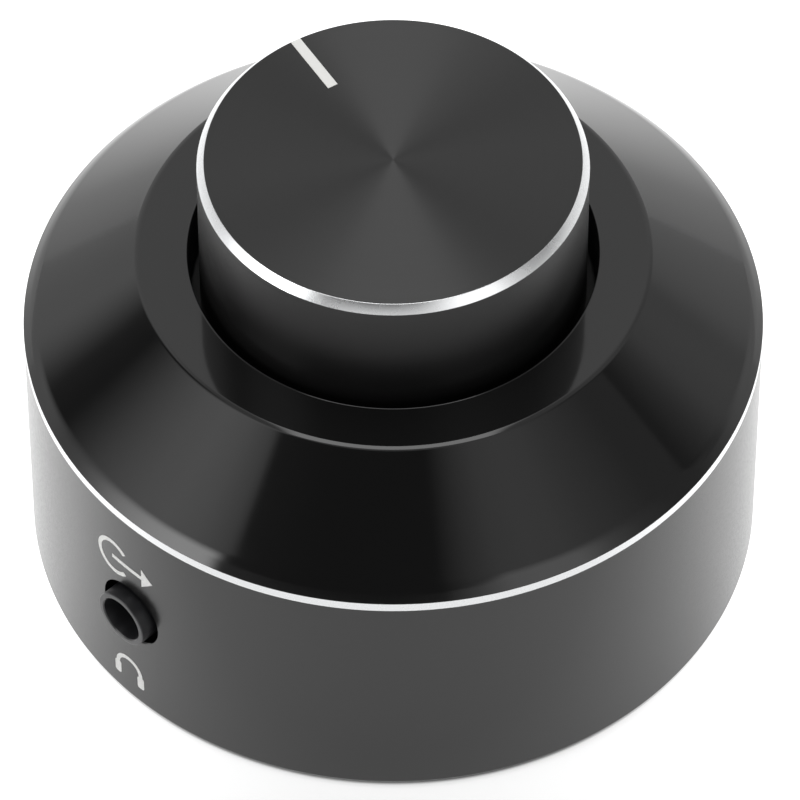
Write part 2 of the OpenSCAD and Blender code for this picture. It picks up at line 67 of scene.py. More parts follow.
# Studio
# A white tent seen from inside: a sweep behind the control, a soft panel on its left and a
# weaker one on its right with gaps beside them, a dim front, and a strip lamp overhead. The
# control stands on white paper.
TENT = [
    # azimuth, brightness below the fold and above it, height of the fold
    (2, 0.38, 0.14, 22),      # gap behind the right panel
    (9, 0.45, 0.43, 18),
    (16, 0.95, 0.83, 15),     # white wall on the right
    (23, 1.30, 0.88, 12),
    (30, 1.40, 0.78, 9),
    (41, 1.10, 0.91, 9),
    (60, 1.10, 1.25, 9),      # sweep behind the control
    (128, 1.00, 1.25, 9),
    (145, 1.30, 1.33, 9),
    (151, 1.30, 0.82, 10),
    (157, 1.40, 0.12, 12),    # gap between the sweep and the left panel
    (165, 1.10, 0.02, 16),
    (171, 0.80, 0.40, 19),    # left panel
    (178, 1.20, 0.97, 22),
    (184, 2.20, 1.38, 25),
    (191, 4.00, 1.75, 28),
    (200, 5.70, 1.95, 31),
    (209, 6.50, 1.70, 34),
    (219, 6.50, 1.05, 36),
    (222, 0.30, 0.07, 30),    # dim front
    (240, 0.60, 0.02, 28),
    (250, 1.20, 0.01, 28),
    (284, 1.00, 0.02, 29),
    (294, 1.10, 0.50, 34),    # right panel
    (303, 2.00, 0.83, 40),
    (313, 2.15, 0.95, 38.5),
    (322, 2.10, 0.91, 36),
    (331, 1.05, 0.71, 34),
    (340, 0.55, 0.54, 31),
    (350, 0.34, 0.34, 27),
]
FOLD_SOFTNESS = 3.5        # degrees to either side of the fold
ROOF = (54, 64)            # heights over which the walls pass into the roof
ROOF_LIGHT = 0.7
HORIZON = (3, 14)          # heights over which the paper's far light passes into the walls
HORIZON_LIGHT = 1.08
LAMP_LIGHT = 4.5
LAMP_TAPER = 0.4           # the lamp is this much narrower towards the back
LAMP_HALF = (0.26, 0.33)   # parts of the looking direction's X over which its light fades
LAMP_LONG = (0.33, 0.38)   # and of its Y, from the lamp's middle
LAMP_BACK = 0.15           # the middle's Y
FLOOR_RADIUS = 4.0         # metres, like the drop
FLOOR_DROP = 0.00001       # keeps the paper clear of the feet
FLOOR_COLOUR = "#c8c8c8"
# The paper's glow is painted light: painted shade in front, a painted pool of light round the control
# and a painted contact shadow under it.
FLOOR_GLOW_FRONT = 0.51
FLOOR_GLOW = 1.04
FLOOR_FAR_PART = 0.45
FLOOR_FRONT = (-36, -10)       # millimetres along Y over which the front's glow grows to full
FLOOR_PAINTED_SHADOW = (31.35, 31.65)   # millimetres from the middle over which it starts, past the foot
FLOOR_FAR = (45, 210)          # millimetres from the middle over which it falls to its far part


def add_node(tree, kind, inputs=None, **settings):
    """Adds a node. An input takes a number, a colour or another node's output."""
    made = tree.nodes.new(kind)
    for key, value in settings.items():
        setattr(made, key, value)
    for key, value in (inputs or {}).items():
        if isinstance(value, bpy.types.NodeSocket):
            tree.links.new(value, made.inputs[key])
        else:
            made.inputs[key].default_value = value
    return made


def linear(hex_colour):
    """An sRGB hex colour as linear red, green, blue and alpha."""
    channels = [int(hex_colour[i:i + 2], 16) / 255 for i in (1, 3, 5)]
    return [c / 12.92 if c <= 0.04045 else ((c + 0.055) / 1.055) ** 2.4 for c in channels] + [1.0]


def tent_walls(tree, x, y):
    """The walls' brightness below and above the fold, and its height, in a level direction."""
    turn = add_node(tree, "ShaderNodeMath", {0: y, 1: x}, operation="ARCTAN2")
    turn = add_node(tree, "ShaderNodeMath", {0: turn.outputs[0], 1: math.tau}, operation="DIVIDE")
    turn = add_node(tree, "ShaderNodeMath", {0: turn.outputs[0]}, operation="FRACT")
    ramp = add_node(tree, "ShaderNodeValToRGB", {"Fac": turn.outputs[0]})
    stops = ramp.color_ramp.elements
    for panel in TENT[1:-1]:
        stops.new(panel[0] / 360)
    for stop, panel in zip(stops, TENT):
        stop.position = panel[0] / 360
        stop.color = (panel[1], panel[2], math.radians(panel[3]), 1)
    return add_node(tree, "ShaderNodeSeparateColor", {"Color": ramp.outputs["Color"]}).outputs


def strip_lamp(tree, x, y):
    """How much of the lamp a direction sees: 1 in its middle and 0 past its soft edges."""
    across = add_node(tree, "ShaderNodeMath", {0: x}, operation="ABSOLUTE")
    across = add_node(tree, "ShaderNodeMath", {0: y, 1: LAMP_TAPER, 2: across.outputs[0]},
                      operation="MULTIPLY_ADD")
    along = add_node(tree, "ShaderNodeMath", {0: y, 1: LAMP_BACK}, operation="SUBTRACT")
    along = add_node(tree, "ShaderNodeMath", {0: along.outputs[0]}, operation="ABSOLUTE")
    inside = []
    for off, (full, none) in ((across, LAMP_HALF), (along, LAMP_LONG)):
        inside.append(add_node(tree, "ShaderNodeMapRange", {
            "Value": off.outputs[0], "From Min": full, "From Max": none, "To Min": 1, "To Max": 0},
            interpolation_type="SMOOTHSTEP").outputs[0])
    return add_node(tree, "ShaderNodeMath", {0: inside[0], 1: inside[1]}, operation="MULTIPLY")


def white_tent():
    world = bpy.data.worlds.new("white_tent")
    world.use_nodes = True
    tree = world.node_tree
    tree.nodes.clear()
    looking = add_node(tree, "ShaderNodeTexCoord").outputs["Generated"]
    x, y, z = add_node(tree, "ShaderNodeSeparateXYZ", {"Vector": looking}).outputs
    below, above, fold = tent_walls(tree, x, y)
    height = add_node(tree, "ShaderNodeMath", {0: z}, operation="ARCSINE").outputs[0]
    past = add_node(tree, "ShaderNodeMath", {0: height, 1: fold}, operation="SUBTRACT")
    soft = math.radians(FOLD_SOFTNESS)
    light = add_node(tree, "ShaderNodeMapRange", {
        "Value": past.outputs[0], "From Min": -soft, "From Max": soft,
        "To Min": below, "To Max": above})
    light = add_node(tree, "ShaderNodeMapRange", {
        "Value": height, "From Min": math.radians(ROOF[0]), "From Max": math.radians(ROOF[1]),
        "To Min": light.outputs[0], "To Max": ROOF_LIGHT})
    light = add_node(tree, "ShaderNodeMapRange", {
        "Value": height, "From Min": math.radians(HORIZON[0]), "From Max": math.radians(HORIZON[1]),
        "To Min": HORIZON_LIGHT, "To Max": light.outputs[0]})
    light = add_node(tree, "ShaderNodeMapRange", {
        "Value": strip_lamp(tree, x, y).outputs[0], "To Min": light.outputs[0], "To Max": LAMP_LIGHT})
    glow = add_node(tree, "ShaderNodeBackground", {"Strength": light.outputs[0]})
    add_node(tree, "ShaderNodeOutputWorld", {"Surface": glow.outputs[0]})
    return world


def floor_paper():
    # White paper: it takes the control's shadow, and glows a little to look white. Its glow is
    # painted light: dimmer in front (painted shade), brighter near the control (a painted pool of
    # light), and none under the control (a painted contact shadow). From below it lets the
    # underside of the control be seen.
    material = bpy.data.materials.new("white_paper")
    material.use_nodes = True
    tree = material.node_tree
    tree.nodes.clear()
    path = add_node(tree, "ShaderNodeLightPath")
    seen = path.outputs["Is Camera Ray"]
    for ray in ("Is Glossy Ray", "Is Transmission Ray"):
        seen = add_node(tree, "ShaderNodeMath", {0: seen, 1: path.outputs[ray]},
                        operation="MAXIMUM").outputs[0]
    place = add_node(tree, "ShaderNodeNewGeometry").outputs["Position"]
    along = add_node(tree, "ShaderNodeSeparateXYZ", {"Vector": place}).outputs["Y"]
    away = add_node(tree, "ShaderNodeVectorMath", {0: place}, operation="LENGTH").outputs["Value"]
    glow = add_node(tree, "ShaderNodeMapRange", {
        "Value": along, "From Min": FLOOR_FRONT[0] * MM, "From Max": FLOOR_FRONT[1] * MM,
        "To Min": FLOOR_GLOW_FRONT, "To Max": FLOOR_GLOW})
    # Painted contact shadow: no glow under the control.
    painted_shadow = add_node(tree, "ShaderNodeMapRange", {
        "Value": away, "From Min": FLOOR_PAINTED_SHADOW[0] * MM, "From Max": FLOOR_PAINTED_SHADOW[1] * MM,
        "To Min": 0, "To Max": seen})
    # Painted pool of light: the glow falls away from the control.
    painted_falloff = add_node(tree, "ShaderNodeMapRange", {
        "Value": away, "From Min": FLOOR_FAR[0] * MM, "From Max": FLOOR_FAR[1] * MM,
        "To Min": 1, "To Max": FLOOR_FAR_PART})
    for share in (painted_shadow, painted_falloff):
        glow = add_node(tree, "ShaderNodeMath", {0: share.outputs[0], 1: glow.outputs[0]},
                        operation="MULTIPLY")
    lit = add_node(tree, "ShaderNodeBsdfDiffuse", {"Color": linear(FLOOR_COLOUR)})
    own = add_node(tree, "ShaderNodeEmission", {"Strength": glow.outputs[0]})
    paper = add_node(tree, "ShaderNodeAddShader", {0: lit.outputs[0], 1: own.outputs[0]})
    clear = add_node(tree, "ShaderNodeBsdfTransparent")
    side = add_node(tree, "ShaderNodeNewGeometry").outputs["Backfacing"]
    both = add_node(tree, "ShaderNodeMixShader", {0: side, 1: paper.outputs[0], 2: clear.outputs[0]})
    add_node(tree, "ShaderNodeOutputMaterial", {"Surface": both.outputs[0]})
    return material


def lay_floor():
    bm = bmesh.new()
    bmesh.ops.create_circle(bm, cap_ends=True, radius=FLOOR_RADIUS, segments=64,
                            matrix=Matrix.Translation((0, 0, -FLOOR_DROP)))
    mesh = bpy.data.meshes.new("floor")
    bm.to_mesh(mesh)
    bm.free()
    mesh.materials.append(floor_paper())
    floor = bpy.data.objects.new("floor", mesh)
    bpy.context.scene.collection.objects.link(floor)


bpy.context.scene.world = white_tent()
lay_floor()


# Case
# Turned from an aluminium bar and anodised black: mirror polished on top, satin round the side,
# with a bright band cut through the oxide at the shoulder. Four lugs inside take the cover's
# screws, and the potentiometer hangs from the floor of the well that the knob turns in.
case_low, case_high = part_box("case_shell")
CASE_R = case_high.x / MM
CASE_FOOT = case_low.z / MM
RING_TOP = case_high.z / MM
TURN_STEPS = 256
FOOT_EDGE = 0.3
BAND_LOW = 24.8
BAND_TOP = 25.67
BAND_EDGE = 0.04
SHOULDER_R = 31.13
SHOULDER_Z = 26.64
SHOULDER_EDGE = 0.5
RING_R = 22.04
RING_EDGE = 0.3
WELL_R = 17.65
LIP_W = 0.16         # a fine lip at the well's mouth, which catches the light
LIP_H = 0.04
WELL_FLOOR = 28.2
WELL_CORNER = 0.3
BUSH_HOLE_R = 3.55
MOUNT_Z = 25.8
POCKET_R = 20.05
POCKET_TOP = 31.8
POCKET_CORNER_R = 21.02
POCKET_EDGE = 0.3
CAVITY_R = 29
CAVITY_TOP = 25.09
CAVITY_EDGE = 0.5
SEAT_R = 30
SEAT_Z = 3.8
LUG_R = 3.6
LUG_AT = 26.6
LUG_SLOPE = 40
LUG_TOP = 28.6
SCREW_HOLE_R = 1.55
SCREW_HOLE_DEPTH = 8
KEY_SLOT = ((-8.9, -1.3), (-7.5, 1.3))    # for the potentiometer's locating key
JACK_HOLE_R = 3.3
JACK_HOLE_FLARE = 0.14
FLARE_DEPTH = 0.33   # depth in the wall at which the flare's cone starts
FLARE_OUT = 0.2      # distance outside the wall at which it ends
FLARE_SPARE = 0.1    # how much narrower it starts, and wider it ends
JACK_Z = 12.7
OUT_AZIMUTH = 225
IN_AZIMUTH = 135
PAST = 1             # cutters and joined pieces reach this far past a surface


def turn_outline(corners, closed=True, steps=TURN_STEPS):
    """Turns an outline of (radius, height, rounding) corners about Z."""
    bm = bmesh.new()
    verts = [bm.verts.new((corner[0], 0, corner[1])) for corner in corners]
    following = verts[1:] + verts[:1] if closed else verts[1:]
    for ends in zip(verts, following):
        bm.edges.new(ends)
    for vert, corner in zip(verts, corners):
        if len(corner) > 2:
            bmesh.ops.bevel(bm, geom=[vert], offset=corner[2], offset_type="OFFSET", segments=5,
                            profile=0.5, affect="VERTICES", material=-1)
    bmesh.ops.spin(bm, geom=bm.verts[:] + bm.edges[:], cent=(0, 0, 0), axis=(0, 0, 1),
                   angle=math.tau, steps=steps, use_merge=True)
    bmesh.ops.remove_doubles(bm, verts=bm.verts, dist=0.0001)
    bmesh.ops.recalc_face_normals(bm, faces=bm.faces)
    return bm


def rod(radius, low, high, place=(0, 0), sides=64, end_radius=None):
    """An upright cylinder, or a cone, between two heights."""
    bm = bmesh.new()
    bmesh.ops.create_cone(bm, cap_ends=True, segments=sides, radius1=radius,
                          radius2=radius if end_radius is None else end_radius, depth=high - low,
                          matrix=Matrix.Translation((place[0], place[1], (low + high) / 2)))
    return bm


def block(low, high):
    """A box between two corners."""
    bm = bmesh.new()
    size = Vector(high) - Vector(low)
    middle = Matrix.Translation((Vector(low) + Vector(high)) / 2)
    bmesh.ops.create_cube(bm, size=1, matrix=middle @ Matrix.Diagonal((*size, 1)))
    return bm


def turned_to(bm, azimuth):
    """Turns a mesh about Z, from azimuth 0 to the given one."""
    bmesh.ops.rotate(bm, verts=bm.verts, cent=(0, 0, 0),
                     matrix=Matrix.Rotation(math.radians(azimuth), 3, "Z"))
    return bm


def moved(bm, x, y, z):
    bmesh.ops.translate(bm, verts=bm.verts, vec=(x, y, z))
    return bm


def laid_along_x(bm, height):
    """Lays an upright mesh down at that height, its top towards +X."""
    bmesh.ops.rotate(bm, verts=bm.verts, cent=(0, 0, 0),
                     matrix=Matrix.Rotation(math.radians(90), 3, "Y"))
    return moved(bm, 0, 0, height)


def four_times(bm):
    """Repeats a mesh at the other three quarters of the circle."""
    bmesh.ops.spin(bm, geom=bm.verts[:] + bm.edges[:] + bm.faces[:], cent=(0, 0, 0), axis=(0, 0, 1),
                   angle=math.radians(270), steps=3, use_duplicate=True)
    return bm


def as_object(bm, name, materials=()):
    mesh = bpy.data.meshes.new(name)
    bm.to_mesh(mesh)
    bm.free()
    for material in materials:
        mesh.materials.append(material)
    made = bpy.data.objects.new(name, mesh)
    bpy.context.scene.collection.objects.link(made)
    return made


def apply_modifiers(piece):
    graph = bpy.context.evaluated_depsgraph_get()
    done = bpy.data.meshes.new_from_object(piece.evaluated_get(graph), depsgraph=graph)
    piece.modifiers.clear()
    piece.data = done


def carve(piece, bm, operation="DIFFERENCE"):
    """Cuts another mesh out of a piece, or joins it on, or keeps what both fill."""
    tool = as_object(bm, "tool")
    modifier = piece.modifiers.new("carve", "BOOLEAN")
    modifier.operation = operation
    modifier.solver = "EXACT"
    modifier.object = tool
    apply_modifiers(piece)
    bpy.data.objects.remove(tool)


def complete(piece, body, slot, *replaced, crease=30):
    """Scales a piece to metres, shades it smooth between its creases and fixes it to its body."""
    piece.data.transform(Matrix.Scale(MM, 4))
    piece.data.shade_smooth()
    piece.data.set_sharp_from_angle(angle=math.radians(crease))
    weighted = piece.modifiers.new("weighted", "WEIGHTED_NORMAL")
    weighted.keep_sharp = True
    apply_modifiers(piece)
    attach(piece, body)
    if replaced:
        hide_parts(*replaced)


def new_material(name, colour, roughness, metallic=0.0):
    material = bpy.data.materials.new(name)
    material.use_nodes = True
    tree = material.node_tree
    shader = tree.nodes["Principled BSDF"]
    shader.inputs["Base Color"].default_value = linear(colour)
    shader.inputs["Roughness"].default_value = roughness
    shader.inputs["Metallic"].default_value = metallic
    return material, tree, shader


def cloud(tree, size, stretch=(1, 1, 1), detail=3.0):
    """Cloudy patches of that size in millimetres, stretched along the axes."""
    place = add_node(tree, "ShaderNodeTexCoord").outputs["Object"]
    scaled = add_node(tree, "ShaderNodeMapping", {
        "Vector": place, "Scale": [1 / (size * MM * along) for along in stretch]})
    return add_node(tree, "ShaderNodeTexNoise", {
        "Vector": scaled.outputs[0], "Scale": 1.0, "Detail": detail}).outputs[0]


def vary_roughness(tree, shader, pattern, low, high):
    """Spreads a roughness over the range that a noise pattern mostly keeps to."""
    level = add_node(tree, "ShaderNodeMapRange", {
        "Value": pattern, "From Min": 0.3, "From Max": 0.7, "To Min": low, "To Max": high})
    tree.links.new(level.outputs[0], shader.inputs["Roughness"])


def vary_colour(tree, shader, pattern, low, high):
    """Shades one colour into another over the middle of a noise pattern's range."""
    ramp = add_node(tree, "ShaderNodeValToRGB", {"Fac": pattern})
    for stop, at, colour in zip(ramp.color_ramp.elements, (0.35, 0.65), (low, high)):
        stop.position = at
        stop.color = linear(colour)
    tree.links.new(ramp.outputs["Color"], shader.inputs["Base Color"])


def add_relief(tree, shader, pattern, depth):
    """Raises and sinks the surface by a pattern, with the depth in millimetres."""
    relief = add_node(tree, "ShaderNodeBump", {
        "Height": pattern, "Distance": depth * MM, "Strength": 1.0})
    tree.links.new(relief.outputs[0], shader.inputs["Normal"])


def polished_black_anodise():
    # A clear dyed oxide over polished metal: a dark mirror, with the oxide's faint cloudiness.
    material, tree, shader = new_material("polished_black_anodise", "#121212", 0.08)
    vary_roughness(tree, shader, cloud(tree, 5), 0.065, 0.095)
    return material


def satin_black_anodise():
    # Finely blasted before anodising: soft broad highlights and a dense fine grain.
    material, tree, shader = new_material("satin_black_anodise", "#111111", 0.22)
    vary_roughness(tree, shader, cloud(tree, 0.3), 0.19, 0.25)
    add_relief(tree, shader, cloud(tree, 0.1, detail=1.0), 0.0006)
    return material


def bright_cut_aluminium():
    # Bare metal from a single-point tool: bright, clouded by the tool's chatter.
    material, tree, shader = new_material("bright_cut_aluminium", "#e2e3e4", 0.27, 1.0)
    vary_roughness(tree, shader, cloud(tree, 1.2), 0.25, 0.29)
    return material


def turned_black_anodise_and_shade():
    # Neither polished nor blasted, down in the well: a dull black with faint tool marks.
    # Its colour, darker than the rest of the case, is painted shade in the well.
    material, tree, shader = new_material("turned_black_anodise_and_shade", "#080808", 0.6)
    vary_roughness(tree, shader, cloud(tree, 0.3, (30, 30, 1)), 0.5, 0.7)
    return material


BRIGHT = bright_cut_aluminium()
CASE_FINISHES = [satin_black_anodise(), polished_black_anodise(), BRIGHT, turned_black_anodise_and_shade()]
SATIN, POLISHED, CUT, DULL_AND_SHADED = range(4)    # places in the list of finishes
NEAR = 0.02          # a face's middle lies less than this inside its circle
ROUNDED_BY = 0.5     # a rounded corner's faces lie less than this under the cone


def case_finish(radius, height):
    """Which of the case's finishes a spot on its outline has."""
    if radius > CASE_R - NEAR and height < BAND_TOP:
        return CUT if height > BAND_LOW else SATIN
    if radius > SHOULDER_R:
        return POLISHED if height > BAND_TOP else SATIN
    along = (SHOULDER_R - radius) / (SHOULDER_R - RING_R)
    cone_height = min(SHOULDER_Z + along * (RING_TOP - SHOULDER_Z), RING_TOP)
    if height > cone_height - ROUNDED_BY:
        return POLISHED if radius > WELL_R else DULL_AND_SHADED
    # The well's wall and floor get the darker finish: painted shade in the well, and a dull turned
    # surface.
    return DULL_AND_SHADED if radius < WELL_R + NEAR and height > WELL_FLOOR - NEAR else SATIN


def turn_case():
    bm = turn_outline([
        (SEAT_R, CASE_FOOT), (CASE_R, CASE_FOOT, FOOT_EDGE), (CASE_R, BAND_LOW),
        (CASE_R, BAND_TOP, BAND_EDGE), (SHOULDER_R, SHOULDER_Z, SHOULDER_EDGE),
        (RING_R, RING_TOP, RING_EDGE), (WELL_R + LIP_W, RING_TOP),
        (WELL_R + LIP_W / 2, RING_TOP + LIP_H, LIP_H), (WELL_R, RING_TOP),
        (WELL_R, WELL_FLOOR, WELL_CORNER), (BUSH_HOLE_R, WELL_FLOOR),
        (BUSH_HOLE_R, MOUNT_Z), (POCKET_R, MOUNT_Z, POCKET_EDGE),
        (POCKET_R, POCKET_TOP, POCKET_EDGE), (POCKET_CORNER_R, POCKET_TOP),
        (CAVITY_R, CAVITY_TOP, CAVITY_EDGE), (CAVITY_R, SEAT_Z), (SEAT_R, SEAT_Z)])
    for face in bm.faces:
        spot = face.calc_center_median()
        face.material_index = case_finish(math.hypot(spot.x, spot.y), spot.z)
    return as_object(bm, "case_turning", CASE_FINISHES)


def screw_lugs():
    """Lugs from the cover's seat up into the cone's wall."""
    lug = rod(LUG_R, SEAT_Z, LUG_TOP + LUG_R, (LUG_AT, 0))
    slope = math.radians(LUG_SLOPE)
    cut = bmesh.ops.bisect_plane(lug, geom=lug.verts[:] + lug.edges[:] + lug.faces[:],
                                 plane_co=(LUG_AT, 0, LUG_TOP),
                                 plane_no=(math.sin(slope), 0, math.cos(slope)), clear_outer=True)
    rim = [edge for edge in cut["geom_cut"] if isinstance(edge, bmesh.types.BMEdge)]
    bmesh.ops.contextual_create(lug, geom=rim)
    bmesh.ops.recalc_face_normals(lug, faces=lug.faces)
    return four_times(lug)


def drill_jack_hole(piece, azimuth):
    """Drills a jack's hole through the side wall and flares its mouth."""
    hole = rod(JACK_HOLE_R, CAVITY_R - PAST, CASE_R + PAST, sides=96)
    flare = rod(JACK_HOLE_R - FLARE_SPARE, CASE_R - FLARE_DEPTH, CASE_R + FLARE_OUT, sides=96,
                end_radius=JACK_HOLE_R + JACK_HOLE_FLARE + FLARE_SPARE)
    for cutter in (hole, flare):
        carve(piece, turned_to(laid_along_x(cutter, JACK_Z), azimuth))


def case():
    piece = turn_case()
    carve(piece, screw_lugs(), "UNION")
    screw_hole = rod(SCREW_HOLE_R, SEAT_Z - PAST, SEAT_Z + SCREW_HOLE_DEPTH, (LUG_AT, 0), 32)
    carve(piece, four_times(screw_hole))
    drill_jack_hole(piece, OUT_AZIMUTH)
    drill_jack_hole(piece, IN_AZIMUTH)
    carve(piece, block((*KEY_SLOT[0], MOUNT_Z - PAST), (*KEY_SLOT[1], WELL_FLOOR + PAST)))
    complete(piece, "case", "case_anodised", "case_shell")


case()


# Printed symbols
# White ink screened on the side wall round the output jack: an arrow leaving a ring above it,
# headphones below it.
INK_STROKE = 0.44
INK_BELOW = 0.02
INK_ABOVE = 0.015
INK_STEP = 0.8                    # longer edges are divided, to follow the wall
OUTPUT_SIGN_AT = (224.1, 18.8)    # azimuth and height of the sign's middle
OPEN_RING_R = 1.85
OPEN_RING_X = -1.33
OPEN_RING_GAP = 42
ARROW_TAIL = -1.5
ARROW_NECK = 2.1
ARROW_POINT = 3.35
ARROW_HALF = 1.15
PHONES_SIGN_AT = (224.25, 4.5)
HEADBAND_R = 1.42
HEADBAND_Y = -0.1
CUP_W = 0.78
CUP_H = 1.55
CUP_ROUND = 0.26


def screen_ink():
    # Opaque white ink, thin and a little dull, not quite even in its cover.
    material, tree, shader = new_material("screen_ink", "#e9e9e6", 0.5)
    vary_colour(tree, shader, cloud(tree, 0.25), "#dadad8", "#e6e6e4")
    return material


def stroke_arc(bm, x, y, radius, start, end):
    """A stroke along an arc, from one angle to another."""
    first = math.radians(start)
    ends = [bm.verts.new((x + r * math.cos(first), y + r * math.sin(first), 0))
            for r in (radius - INK_STROKE / 2, radius + INK_STROKE / 2)]
    edge = bm.edges.new(ends)
    bmesh.ops.spin(bm, geom=ends + [edge], cent=(x, y, 0), axis=(0, 0, 1),
                   angle=math.radians(end - start), steps=48)


def patch(bm, x, y, width, height, rounding=0.0):
    """A flat rectangle about a middle, its corners rounded."""
    place = Matrix.Translation((x, y, 0)) @ Matrix.Diagonal((width, height, 1, 1))
    corners = bmesh.ops.create_grid(bm, x_segments=1, y_segments=1, size=0.5, matrix=place)["verts"]
    if rounding:
        bmesh.ops.bevel(bm, geom=corners, offset=rounding, offset_type="OFFSET", segments=5,
                        profile=0.5, affect="VERTICES", material=-1)


def print_sign(bm, name, place):
    """Wraps a flat drawing on the side wall, with the ink's thickness."""
    long_edges = [edge for edge in bm.edges if edge.calc_length() > INK_STEP]
    bmesh.ops.subdivide_edges(bm, edges=long_edges, cuts=4)
    bmesh.ops.recalc_face_normals(bm, faces=bm.faces)
    raised = bmesh.ops.extrude_face_region(bm, geom=bm.faces[:])["geom"]
    top = [v for v in raised if isinstance(v, bmesh.types.BMVert)]
    bmesh.ops.translate(bm, verts=top, vec=(0, 0, INK_BELOW + INK_ABOVE))
    azimuth, height = place
    for vert in bm.verts:
        angle = math.radians(azimuth) + vert.co.x / CASE_R
        radius = CASE_R - INK_BELOW + vert.co.z
        vert.co = (radius * math.cos(angle), radius * math.sin(angle), height + vert.co.y)
    bmesh.ops.recalc_face_normals(bm, faces=bm.faces)
    complete(as_object(bm, name, [INK]), "case", "mark_paint")


def output_symbol():
    bm = bmesh.new()
    stroke_arc(bm, OPEN_RING_X, 0, OPEN_RING_R, OPEN_RING_GAP, 360 - OPEN_RING_GAP)
    patch(bm, (ARROW_TAIL + ARROW_NECK) / 2, 0, ARROW_NECK - ARROW_TAIL, INK_STROKE)
    # The head is a triangle in a circle of radius 1, which is 1.5 long, stretched to size.
    length = ARROW_POINT - ARROW_NECK
    bmesh.ops.create_circle(bm, cap_ends=True, segments=3, radius=1, matrix=(
        Matrix.Translation((ARROW_NECK + length / 3, 0, 0))
        @ Matrix.Diagonal((length / 1.5, ARROW_HALF / math.sin(math.radians(60)), 1, 1))
        @ Matrix.Rotation(math.radians(-90), 4, "Z")))
    print_sign(bm, "output_symbol", OUTPUT_SIGN_AT)


def headphone_symbol():
    bm = bmesh.new()
    stroke_arc(bm, 0, HEADBAND_Y, HEADBAND_R, 0, 180)
    for side in (-1, 1):
        patch(bm, side * HEADBAND_R, HEADBAND_Y - CUP_H / 2, CUP_W, CUP_H, CUP_ROUND)
    print_sign(bm, "headphone_symbol", PHONES_SIGN_AT)


INK = screen_ink()
output_symbol()
headphone_symbol()


# Jacks
# Two moulded 3.5 mm jacks on the board, nozzles out through the side wall. Each body is open at
# its sides for three phosphor bronze leaves that press on the plug.
JACK_BACK = 16.6
JACK_FRONT = 28.6
JACK_HALF = 3.5
JACK_FOOT = 9.5
JACK_HEAD = 15.9
JACK_EDGE = 0.2
NOZZLE_R = 2.7
NOZZLE_FACE = 33.1
NOZZLE_EDGE = 0.1
PLUG_R = 1.8
BORE_R = 2.0
BORE_END = 18.6
LAND_AT = 27.7
MOUTH_R = 2.14
MOUTH_DEPTH = 2.2
MOUTH_EDGE = 0.1
LEAF_ROOMS = [
    # start and end of the leaf's pocket, start of its leg's room, side of the jack
    (17.1, 22.3, 17.1, 1),     # tip
    (22.5, 26.9, 25.3, -1),    # ring
    (23.5, 27.7, 23.5, 1),     # sleeve
]
LEAF_FROM = 1.3
LEAF_HALF = 1.3
LEG_WIDTH = 1.6
LEG_FROM = 2.575
LEG_TOP = JACK_Z - 1
PEGS = (18.6, 27.0)
PEG_R = 0.6
PEG_TIP = 8.1
SHOULDER_CUT = 0.5
SHOULDER_LEN = 3


def jack_plastic():
    # Glass-filled nylon, moulded: near black, half gloss, very slightly pitted.
    material, tree, shader = new_material("moulded_black_nylon", "#1c1c1e", 0.32)
    vary_roughness(tree, shader, cloud(tree, 0.8), 0.28, 0.38)
    add_relief(tree, shader, cloud(tree, 0.2), 0.002)
    return material


def phosphor_bronze():
    # Rolled spring strip: warm metal with fine rolling lines along the leaf.
    material, tree, shader = new_material("phosphor_bronze", "#d8b079", 0.28, 1.0)
    vary_colour(tree, shader, cloud(tree, 1.5), "#c99f66", "#e0bd8b")
    vary_roughness(tree, shader, cloud(tree, 0.1, (12, 12, 1)), 0.2, 0.36)
    return material


def jack_body(name):
    """The block with its nozzle and its two locating pegs, pointing to +X."""
    body = block((JACK_BACK, -JACK_HALF, JACK_FOOT), (JACK_FRONT, JACK_HALF, JACK_HEAD))
    bmesh.ops.bevel(body, geom=body.edges[:], offset=JACK_EDGE, segments=3, profile=0.5,
                    affect="EDGES", material=-1)
    piece = as_object(body, name, [NYLON])
    nozzle = turn_outline([(0, JACK_FRONT - PAST), (NOZZLE_R, JACK_FRONT - PAST),
                           (NOZZLE_R, NOZZLE_FACE, NOZZLE_EDGE), (0, NOZZLE_FACE)],
                          closed=False, steps=96)
    carve(piece, laid_along_x(nozzle, JACK_Z), "UNION")
    for peg in PEGS:
        carve(piece, rod(PEG_R, PEG_TIP, JACK_FOOT + PAST, (peg, 0), 24), "UNION")
    return piece


def bore_plug_way(piece):
    """Bores the way for the plug: clearance at the back, a close land, then a wider mouth."""
    mouth_end = MOUTH_R + MOUTH_EDGE
    bore = turn_outline([(0, BORE_END), (BORE_R, BORE_END), (BORE_R, LAND_AT), (PLUG_R, LAND_AT),
                         (PLUG_R, NOZZLE_FACE - MOUTH_DEPTH), (MOUTH_R, NOZZLE_FACE - MOUTH_EDGE),
                         (mouth_end, NOZZLE_FACE), (mouth_end, NOZZLE_FACE + PAST),
                         (0, NOZZLE_FACE + PAST)], closed=False, steps=96)
    carve(piece, laid_along_x(bore, JACK_Z))


def open_leaf_rooms(piece):
    """Opens the body's sides for the leaves, and its underside for their legs."""
    for start, end, leg, side in LEAF_ROOMS:
        pocket = (start, end, LEAF_FROM, JACK_Z - LEAF_HALF, JACK_Z + LEAF_HALF)
        leg_room = (leg, leg + LEG_WIDTH, LEG_FROM, JACK_FOOT - PAST, LEG_TOP)
        for back, front, inside, low, high in (pocket, leg_room):
            right, left = sorted((side * inside, side * (JACK_HALF + PAST)))
            carve(piece, block((back, right, low), (front, left, high)))


